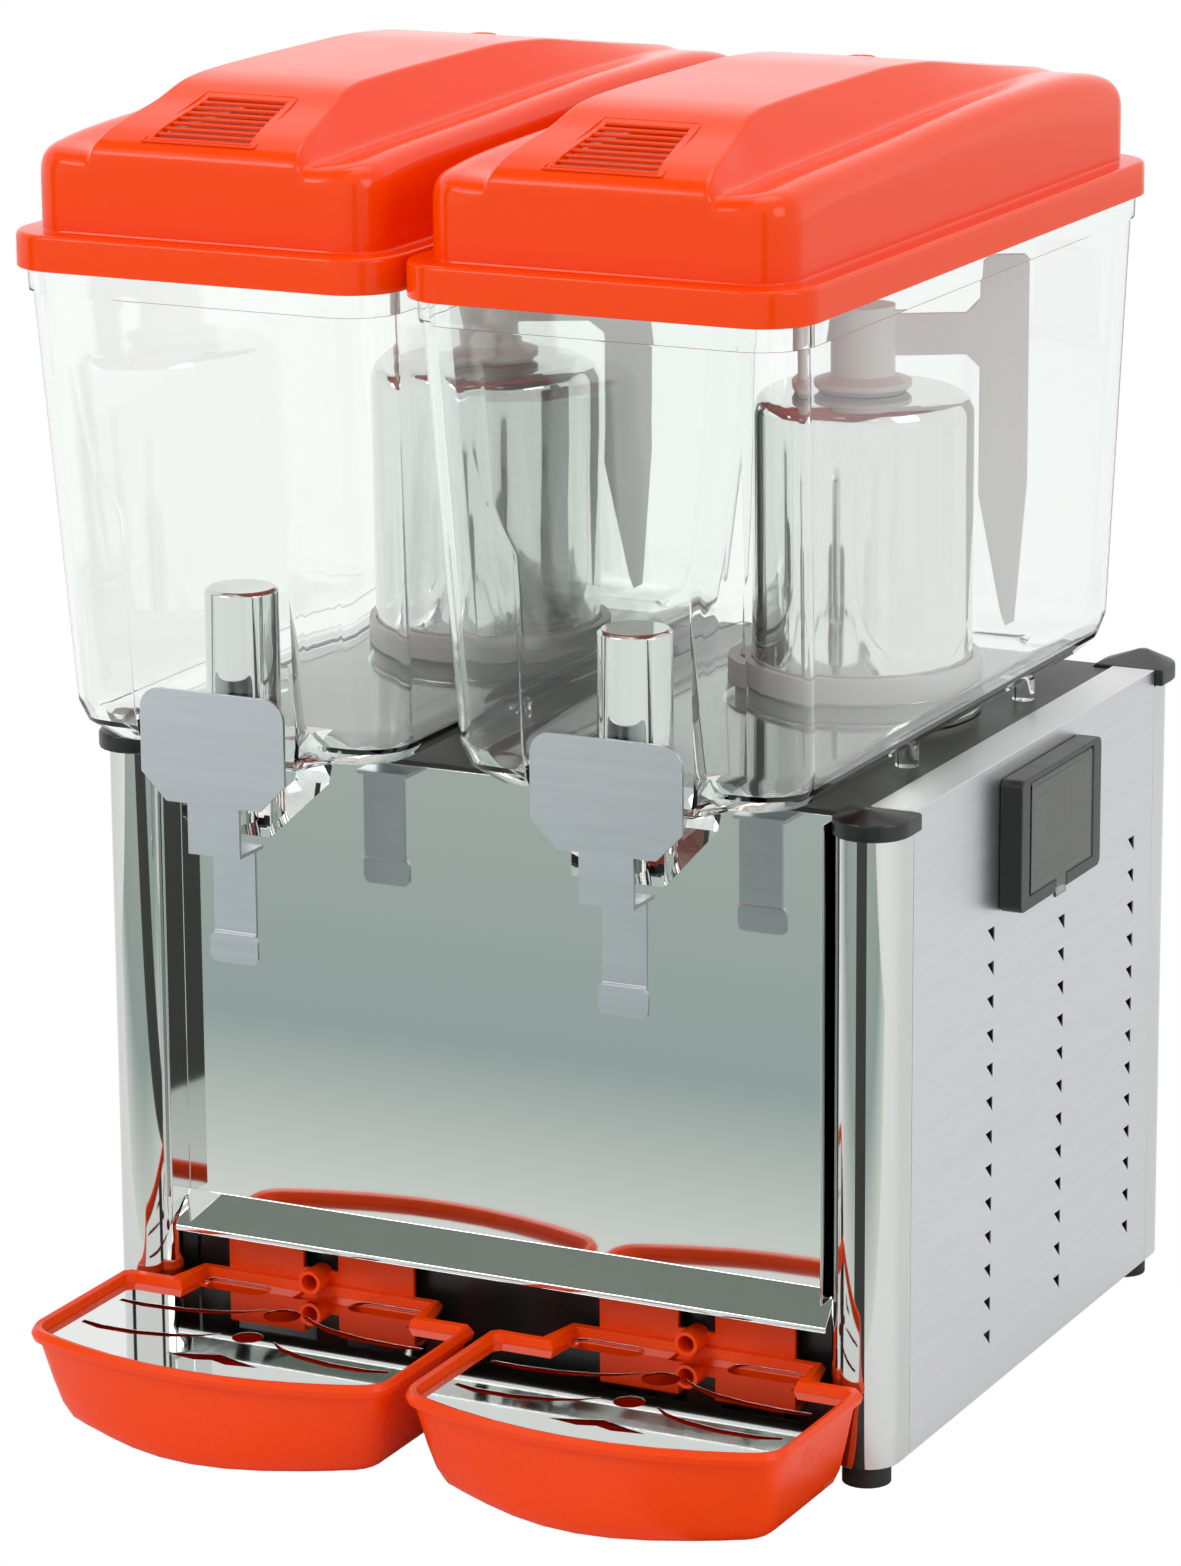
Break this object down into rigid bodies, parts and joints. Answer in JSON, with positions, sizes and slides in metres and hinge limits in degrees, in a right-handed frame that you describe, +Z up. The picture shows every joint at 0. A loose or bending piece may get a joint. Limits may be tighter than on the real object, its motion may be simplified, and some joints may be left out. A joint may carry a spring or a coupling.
{
  "type": "refrigerated juice dispenser",
  "caption": "Counter-top refrigerated juice dispenser with twin clear bowls, orange lids, push levers, hooked drip trays and a stainless case on short feet.",
  "frame": {"origin": "centre of the overall footprint, at the table surface under the feet", "axes": "+Z up; +Y towards the back, with the levers at -Y; +X to the right seen from the front"},
  "size_m": [0.4258, 0.4768, 0.637],
  "materials": {
    "brushed_steel": "brushed stainless sheet",
    "mirror_steel": "mirror polished stainless",
    "plain_steel": "plain rolled steel",
    "copper": "drawn copper tube",
    "black_plastic": "black moulded plastic",
    "rubber": "black rubber",
    "orange_plastic": "glossy orange plastic",
    "clear_plastic": "clear polycarbonate",
    "smoked_plastic": "smoked clear plastic",
    "white_plastic": "white moulded plastic",
    "red_plastic": "red switch key",
    "black_enamel": "black enamelled steel"
  },
  "bodies": {
    "machine": {"agitator_motor_left": "plain_steel", "agitator_motor_right": "plain_steel", "base_pan": "plain_steel", "bowl_gasket_left": "white_plastic", "bowl_gasket_right": "white_plastic", "bowl_left": "clear_plastic", "bowl_right": "clear_plastic", "cap_front_left": "black_plastic", "cap_front_right": "black_plastic", "cap_rear_left": "black_plastic", "cap_rear_right": "black_plastic", "column_front_left": "mirror_steel", "column_front_right": "mirror_steel", "column_rear_left": "mirror_steel", "column_rear_right": "mirror_steel", "compressor": "black_enamel", "condenser": "plain_steel", "cooling_dome_left": "mirror_steel", "cooling_dome_right": "mirror_steel", "cord_gland": "rubber", "discharge_tube": "copper", "fan_motor": "plain_steel", "foot_front_left": "rubber", "foot_front_right": "rubber", "foot_rear_left": "rubber", "foot_rear_right": "rubber", "front_panel": "mirror_steel", "kick_plate": "mirror_steel", "left_side_panel": "brushed_steel", "lever_pin_left": "plain_steel", "lever_pin_right": "plain_steel", "rear_panel": "brushed_steel", "right_side_panel": "brushed_steel", "switch_housing": "black_plastic", "top_deck": "black_plastic", "valve_sleeve_left": "mirror_steel", "valve_sleeve_right": "mirror_steel", "valve_spring_left": "plain_steel", "valve_spring_right": "plain_steel"},
    "fan": {"fan_blade": "black_plastic"},
    "flap": {"switch_flap": "smoked_plastic"},
    "rocker_cooling_key": {"rocker_cooling": "red_plastic"},
    "rocker_left_bowl_key": {"rocker_left_bowl": "black_plastic"},
    "rocker_right_bowl_key": {"rocker_right_bowl": "black_plastic"},
    "lid_left_body": {"lid_left": "orange_plastic"},
    "drive_left": {"drive_rotor_left": "plain_steel"},
    "paddle_left_body": {"paddle_left": "white_plastic"},
    "lever_left_body": {"lever_left": "brushed_steel"},
    "valve_left": {"plunger_left": "white_plastic"},
    "tray_left": {"drip_tray_left": "orange_plastic"},
    "grille_left_body": {"grille_left": "mirror_steel"},
    "lid_right_body": {"lid_right": "orange_plastic"},
    "drive_right": {"drive_rotor_right": "plain_steel"},
    "paddle_right_body": {"paddle_right": "white_plastic"},
    "lever_right_body": {"lever_right": "brushed_steel"},
    "valve_right": {"plunger_right": "white_plastic"},
    "tray_right": {"drip_tray_right": "orange_plastic"},
    "grille_right_body": {"grille_right": "mirror_steel"}
  },
  "joints": [
    {"name": "fan_spin", "type": "hinge", "parent": "machine", "child": "fan", "pos_m": [0.07635, -0.0094, 0.112], "axis": [0, 1, 0], "continuous": true},
    {"name": "flap_hinge", "type": "hinge", "parent": "machine", "child": "flap", "pos_m": [0.21125, 0.0566, 0.3046], "axis": [0, -1, 0], "range_deg": [0, 85]},
    {"name": "rocker_cooling_tip", "type": "hinge", "parent": "machine", "child": "rocker_cooling_key", "pos_m": [0.19895, 0.0346, 0.2775], "axis": [0, 1, 0], "range_deg": [-8, 8]},
    {"name": "rocker_left_bowl_tip", "type": "hinge", "parent": "machine", "child": "rocker_left_bowl_key", "pos_m": [0.19895, 0.0566, 0.2775], "axis": [0, 1, 0], "range_deg": [-8, 8]},
    {"name": "rocker_right_bowl_tip", "type": "hinge", "parent": "machine", "child": "rocker_right_bowl_key", "pos_m": [0.19895, 0.0786, 0.2775], "axis": [0, 1, 0], "range_deg": [-8, 8]},
    {"name": "lid_left_lift", "type": "slide", "parent": "machine", "child": "lid_left_body", "axis": [0, 0, 1], "range_m": [0, 0.12]},
    {"name": "drive_left_spin", "type": "hinge", "parent": "machine", "child": "drive_left", "pos_m": [-0.10365, 0.0816, 0.472], "axis": [0, 0, 1], "continuous": true},
    {"name": "paddle_left_spin", "type": "hinge", "parent": "machine", "child": "paddle_left_body", "pos_m": [-0.10365, 0.0816, 0.472], "axis": [0, 0, 1], "continuous": true},
    {"name": "lever_left_push", "type": "hinge", "parent": "machine", "child": "lever_left_body", "pos_m": [-0.10365, -0.1891, 0.325], "axis": [1, 0, 0], "range_deg": [0, 14], "stiffness_Nm_per_rad": 0.8, "springref_deg": -8.59},
    {"name": "valve_left_rise", "type": "slide", "parent": "machine", "child": "valve_left", "axis": [0, 0, 1], "range_m": [0, 0.0061], "deforming": ["valve_spring_left"]},
    {"name": "tray_left_unhook", "type": "slide", "parent": "machine", "child": "tray_left", "axis": [0, 0, 1], "range_m": [0, 0.006]},
    {"name": "grille_left_lift", "type": "slide", "parent": "tray_left", "child": "grille_left_body", "axis": [0, 0, 1], "range_m": [0, 0.015]},
    {"name": "lid_right_lift", "type": "slide", "parent": "machine", "child": "lid_right_body", "axis": [0, 0, 1], "range_m": [0, 0.12]},
    {"name": "drive_right_spin", "type": "hinge", "parent": "machine", "child": "drive_right", "pos_m": [0.09635, 0.0816, 0.472], "axis": [0, 0, 1], "continuous": true},
    {"name": "paddle_right_spin", "type": "hinge", "parent": "machine", "child": "paddle_right_body", "pos_m": [0.09635, 0.0816, 0.472], "axis": [0, 0, 1], "continuous": true},
    {"name": "lever_right_push", "type": "hinge", "parent": "machine", "child": "lever_right_body", "pos_m": [0.09635, -0.1891, 0.325], "axis": [1, 0, 0], "range_deg": [0, 14], "stiffness_Nm_per_rad": 0.8, "springref_deg": -8.59},
    {"name": "valve_right_rise", "type": "slide", "parent": "machine", "child": "valve_right", "axis": [0, 0, 1], "range_m": [0, 0.0061], "deforming": ["valve_spring_right"]},
    {"name": "tray_right_unhook", "type": "slide", "parent": "machine", "child": "tray_right", "axis": [0, 0, 1], "range_m": [0, 0.006]},
    {"name": "grille_right_lift", "type": "slide", "parent": "tray_right", "child": "grille_right_body", "axis": [0, 0, 1], "range_m": [0, 0.015]}
  ],
  "couplings": [
    {"joint": "paddle_left_spin", "follows": "drive_left_spin", "ratio": 1},
    {"joint": "valve_left_rise", "follows": "lever_left_push", "m_per_rad": 0.024555},
    {"joint": "paddle_right_spin", "follows": "drive_right_spin", "ratio": 1},
    {"joint": "valve_right_rise", "follows": "lever_right_push", "m_per_rad": 0.024555}
  ]
}
